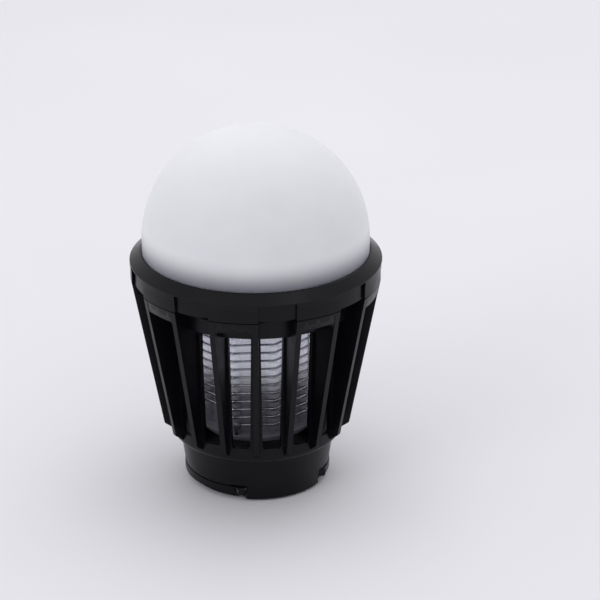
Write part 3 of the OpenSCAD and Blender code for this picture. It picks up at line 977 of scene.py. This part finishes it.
@dataclass
class Head:
    """The head ring with its bezel, dome and port cover."""

    dome_wall: float = 2.0
    dome_side: float = 4.5
    dome_flange: float = 1.5
    dome_fillet: float = 0.4  # between the side and the flange
    fillet_waist: float = 0.12  # where the fillet's middle stands off both of them
    dome_steps: int = 160
    arc_steps: int = 48
    ring_edge: float = 0.3
    bezel_edge: float = 0.3
    small_edge: float = 0.15

    def dome(self, shop: Workshop) -> None:
        """Spins the soft shell: a round cap over a short straight side, with a clamped flange.

        Args:
            shop: Where it is made.
        """
        low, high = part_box("shade_dome")
        foot, top, flange_r = low.z / MM, high.z / MM, high.x / MM
        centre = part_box("bezel_ring")[1].z / MM + self.dome_side
        radius = top - centre
        inner = radius - self.dome_wall
        flange = foot + self.dome_flange
        outline = Outline(0.0, top).arc(0.0, centre, 90.0, self.arc_steps)
        outline.line(
            (radius, flange + self.dome_fillet),
            (radius + self.fillet_waist, flange + self.fillet_waist),
            (radius + self.dome_fillet, flange),
            (flange_r, flange),
            (flange_r, foot),
            (inner, foot),
            (inner, centre),
        ).arc(0.0, centre, -90.0, self.arc_steps)
        shell = outline.turned(self.dome_steps)
        shop.place("dome_shell", shell, Part("head", "silicone", MilkySilicone), "shade_dome")

    def build(self, shop: Workshop) -> None:
        """Makes the head's mouldings and dresses its screws.

        Args:
            shop: Where they are made.
        """
        ring = shop.rounded(
            "head_ring_moulding", "head_housing", Part("head", "abs", MouldedAbs), self.ring_edge
        )
        shop.turned_skin(ring)
        bezel = shop.rounded(
            "bezel_moulding", "bezel_ring", Part("head", "abs", PolishedAbs), self.bezel_edge
        )
        shop.turned_skin(bezel)
        self.dome(shop)
        shop.rounded(
            "head_floor_moulding",
            "head_floor",
            Part("head", "abs_inner", InnerAbs),
            self.small_edge,
        )
        shop.rounded(
            "button_moulding",
            "power_button",
            Part("button", "button_plastic", ButtonAbs),
            self.small_edge,
        )
        shop.rounded(
            "port_cover_moulding",
            "charging_port_cover",
            Part("port_cover", "rubber", SoftRubber),
            self.small_edge,
        )
        shop.dress("floor_screws", PlatedSteel)


class InnerParts(Enum):
    """Electronic parts inside the head and the grid, each with its finish."""

    LAMP_BOARD = ("lamp_board", WhiteSolderMask)
    LAMP_CHIPS = ("lamp_chips", LampPhosphor)
    LAMP_SCREWS = ("lamp_board_screws", PlatedSteel)
    REFLECTOR = ("lamp_reflector", WhitePolystyrene)
    BATTERY = ("battery_pack", ShrinkFilm)
    CRADLE = ("battery_cradle", InnerAbs)
    LEADS = ("battery_leads", LeadInsulation)
    CONTROL_BOARD = ("control_board", SolderMask)
    TRANSFORMER = ("step_up_transformer", LacqueredCoil)
    CAPACITOR = ("storage_capacitor", DippedEpoxy)
    SWITCH = ("push_switch", SwitchBody)
    SOCKET = ("charging_socket", PlatedSteel)
    UV_BOARD = ("uv_board", SolderMask)
    UV_CHIPS = ("uv_chips", VioletChip)


@dataclass
class Grid:
    """Two high-voltage wires wound on a frosted eight-ribbed former between two discs."""

    wire_d: float = 0.8
    pitch: float = 6.3
    turns: int = 6
    ribs: int = 8
    rib_azimuth: float = 18.5
    rib_radius: float = 17.9
    rib_r: float = 1.5
    rib_gap: float = 0.04  # between a rib and the wire round it
    lead_in: int = 24  # the wire's first rib stands a pitch divided by this above its end
    bend_steps: int = 6
    wire_rounding: int = 3
    disc_edge: float = 0.3

    def path(self, start: float) -> list[Vector]:
        """The middle of one wound wire: straight from rib to rib and round each of them.

        Args:
            start: Height in mm of the wire at its first rib.

        Returns:
            Points in metres.
        """
        nose = self.rib_r + self.wire_d / 2 + self.rib_gap
        pitch_deg = 360.0 / self.ribs
        points = []
        for rib in range(self.ribs * self.turns + 1):
            azimuth = self.rib_azimuth + (rib - 1) * pitch_deg
            centre = direction(azimuth) * self.rib_radius
            for step in range(self.bend_steps + 1):
                turn = (step / self.bend_steps - 0.5) * pitch_deg
                spot = centre + direction(azimuth + turn) * nose
                swing = math.degrees(
                    math.asin(nose * math.sin(math.radians(turn)) / spot.length)
                )
                spot.z = start + self.pitch * (rib * pitch_deg + swing) / 360.0
                points.append(spot * MM)
        return points

    def swept(self, name: str, points: Sequence[Vector], radius: float) -> bpy.types.Mesh:
        """Sweeps a round wire along points.

        Args:
            name: The new mesh's name.
            points: The wire's middle, in metres.
            radius: The wire's radius in mm.

        Returns:
            The wire as a mesh with closed ends.
        """
        curve = bpy.data.curves.new(name, "CURVE")
        curve.dimensions = "3D"
        curve.bevel_depth = radius * MM
        curve.bevel_resolution = self.wire_rounding
        curve.use_fill_caps = True
        spline = curve.splines.new("POLY")
        spline.points.add(len(points) - 1)
        for target, point in zip(spline.points, points):
            target.co = (*point, 1.0)
        holder = bpy.data.objects.new(name, curve)
        bpy.context.scene.collection.objects.link(holder)
        graph = bpy.context.evaluated_depsgraph_get()
        mesh = bpy.data.meshes.new_from_object(holder.evaluated_get(graph))
        bpy.data.objects.remove(holder)
        bpy.data.curves.remove(curve)
        return mesh

    def build(self, shop: Workshop) -> None:
        """Winds the wires, makes the two discs and dresses the former.

        Args:
            shop: Where they are made.
        """
        inner = Part("head", "abs_inner", InnerAbs)
        wire = Part("head", "steel", DrawnSteel)
        for node in ("grid_wire_a", "grid_wire_b"):
            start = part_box(node)[0].z / MM + self.wire_d / 2 + self.pitch / self.lead_in
            mesh = self.swept(node + "_wound", self.path(start), self.wire_d / 2)
            shop.place(node + "_wound", mesh, wire, node)
        shop.rounded("grid_top_moulding", "grid_top_disc", inner, self.disc_edge)
        smoky = Part("head", "abs_inner", SmokyAbs)
        shop.rounded("grid_foot_moulding", "grid_foot", smoky, self.disc_edge)
        shop.dress("grid_former", FrostedPolycarbonate)
        shop.dress("grid_foot_screw", PlatedSteel)
        shop.dress("grid_terminal", DrawnSteel)


# --- studio ---


@dataclass
class Softbox:
    """A square studio lamp that points at the lamp's middle."""

    name: str
    place: tuple[float, float, float]
    size: float
    power: float
    colour: str = "#ffffff"

    def build(self, target: Vector) -> None:
        """Hangs the lamp in its place.

        Args:
            target: The point that it is turned to.
        """
        data = bpy.data.lights.new(self.name, "AREA")
        data.shape = "SQUARE"
        data.size = self.size
        data.energy = self.power
        data.color = linear(self.colour)[:3]
        lamp = bpy.data.objects.new(self.name, data)
        lamp.location = self.place
        away = Vector(self.place) - target
        lamp.rotation_mode = "QUATERNION"
        lamp.rotation_quaternion = away.to_track_quat("Z", "Y")
        bpy.context.scene.collection.objects.link(lamp)


@dataclass
class Studio:
    """Pale paper floor, soft lamps, an even sky and the camera."""

    floor_radius: float = 6.0
    floor_sides: int = 96
    sky: float = 0.80
    sky_colour: str = "#f3f2f6"
    lens: float = 165.6
    sensor: float = 36.0
    clip: tuple[float, float] = (0.05, 50.0)
    eye: tuple[float, float, float] = (0.0, -0.9141, 0.4655)
    pan: float = 0.99
    tilt: float = 23.49
    boxes: list[Softbox] = field(
        default_factory=lambda: [
            Softbox("softbox_overhead", (0.08, 0.4, 1.15), 1.1, 5.0, "#fdfcff"),
            Softbox("softbox_front_left", (-0.9, -0.9, 0.8), 0.6, 2.5),
        ]
    )

    def build(self, shop: Workshop) -> None:
        """Sets the studio up round the object.

        Args:
            shop: Where the paper's finish is made.
        """
        scene = bpy.context.scene
        scene.view_settings.view_transform = "Standard"
        low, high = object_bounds()
        target = (low + high) / 2

        bm = bmesh.new()
        bmesh.ops.create_circle(
            bm, cap_ends=True, segments=self.floor_sides, radius=self.floor_radius
        )
        data = bpy.data.meshes.new("floor_paper")
        bm.to_mesh(data)
        bm.free()
        data.materials.append(shop.material(StudioPaper))
        floor = bpy.data.objects.new("floor_paper", data)
        scene.collection.objects.link(floor)
        floor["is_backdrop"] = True

        for box in self.boxes:
            box.build(target)

        world = bpy.data.worlds.new("studio_sky")
        world.use_nodes = True
        back = world.node_tree.nodes["Background"]
        back.inputs["Color"].default_value = linear(self.sky_colour)
        back.inputs["Strength"].default_value = self.sky
        scene.world = world

        camera = bpy.data.cameras.new("camera")
        camera.lens = self.lens
        camera.sensor_width = self.sensor
        camera.clip_start, camera.clip_end = self.clip
        eye = bpy.data.objects.new("camera", camera)
        eye.location = self.eye
        pan, tilt = math.radians(self.pan), math.radians(self.tilt)
        ahead = Vector(
            (math.sin(pan) * math.cos(tilt), math.cos(pan) * math.cos(tilt), -math.sin(tilt))
        )
        eye.rotation_mode = "QUATERNION"
        eye.rotation_quaternion = ahead.to_track_quat("-Z", "Y")
        scene.collection.objects.link(eye)
        scene.camera = eye


def main() -> None:
    """Builds the looks round the frame, sub-assembly by sub-assembly, then the studio."""
    logging.basicConfig(level=logging.INFO, format="%(name)s: %(message)s")
    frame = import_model()
    shop = Workshop(frame)
    for assembly in (Base(), Cage(), Head(), Grid()):
        assembly.build(shop)
    for part in InnerParts:
        shop.dress(*part.value)
    Studio().build(shop)


if __name__ == "__main__":
    main()
